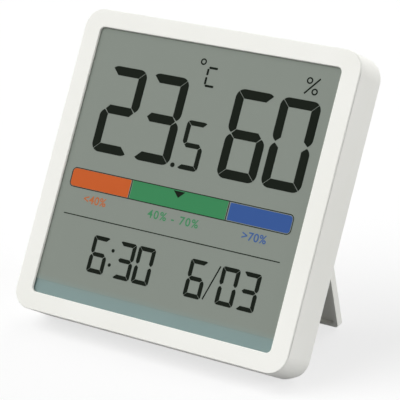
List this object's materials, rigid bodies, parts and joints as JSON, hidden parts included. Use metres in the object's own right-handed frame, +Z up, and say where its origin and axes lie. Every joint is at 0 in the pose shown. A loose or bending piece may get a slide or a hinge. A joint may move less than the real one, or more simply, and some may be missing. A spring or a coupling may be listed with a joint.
{
  "type": "thermometer hygrometer clock",
  "caption": "Square white desk thermometer, hygrometer and clock: a grey segment display in a thin rounded case that leans back on a fold-out stand.",
  "frame": {"origin": "on the table, under the middle of the standing clock", "axes": "+X to the right as seen from the front, +Y to the back, +Z up; the display faces -Y and leans back"},
  "size_m": [0.08, 0.0494, 0.0763],
  "materials": {
    "white_abs": "fine moulded satin",
    "key_plastic": "fine moulded satin",
    "lcd_film": "anti-glare film",
    "lcd_glass": "polished glass",
    "lcd_reflector": "satin reflector film",
    "holder_plastic": "moulded",
    "zebra_rubber": "layered silicone",
    "board_laminate": "solder mask",
    "black_epoxy": "cast epoxy",
    "steel": "plated steel",
    "chip_ceramic": "sintered",
    "switch_plastic": "moulded",
    "contact_metal": "tin-plated spring strip"
  },
  "bodies": {
    "case": {"front_bezel": "white_abs", "rear_case": "white_abs", "lcd_front_polariser": "lcd_film", "lcd_front_glass": "lcd_glass", "lcd_rear_glass": "lcd_glass", "lcd_reflector": "lcd_reflector", "lcd_holder": "holder_plastic", "zebra_strip": "zebra_rubber", "main_board": "board_laminate", "controller_blob": "black_epoxy", "humidity_sensor": "black_epoxy", "crystal": "steel", "tact_switches": "steel", "coin_cell": "steel", "board_screws": "steel", "chip_parts": "chip_ceramic", "battery_positive_contact": "contact_metal", "battery_negative_contact": "contact_metal"},
    "stand": {"stand": "white_abs"},
    "battery_door": {"battery_door": "white_abs"},
    "set_button": {"set_button": "key_plastic", "set_plunger": "switch_plastic"},
    "up_button": {"up_button": "key_plastic", "up_plunger": "switch_plastic"},
    "down_button": {"down_button": "key_plastic", "down_plunger": "switch_plastic"}
  },
  "joints": [
    {"name": "stand_fold", "type": "hinge", "parent": "case", "child": "stand", "pos_m": [0, 0.00697, 0.03908], "axis": [-1, 0, 0], "range_deg": [0, 46]},
    {"name": "door_turn", "type": "hinge", "parent": "case", "child": "battery_door", "pos_m": [0, 0.01758, 0.05596], "axis": [0, 0.8796, -0.4756], "range_deg": [0, 45]},
    {"name": "set_press", "type": "slide", "parent": "case", "child": "set_button", "axis": [0, -0.8796, 0.4756], "range_m": [0, 0.0004], "stiffness_N_per_m": 1500},
    {"name": "up_press", "type": "slide", "parent": "case", "child": "up_button", "axis": [0, -0.8796, 0.4756], "range_m": [0, 0.0004], "stiffness_N_per_m": 1500},
    {"name": "down_press", "type": "slide", "parent": "case", "child": "down_button", "axis": [0, -0.8796, 0.4756], "range_m": [0, 0.0004], "stiffness_N_per_m": 1500}
  ]
}
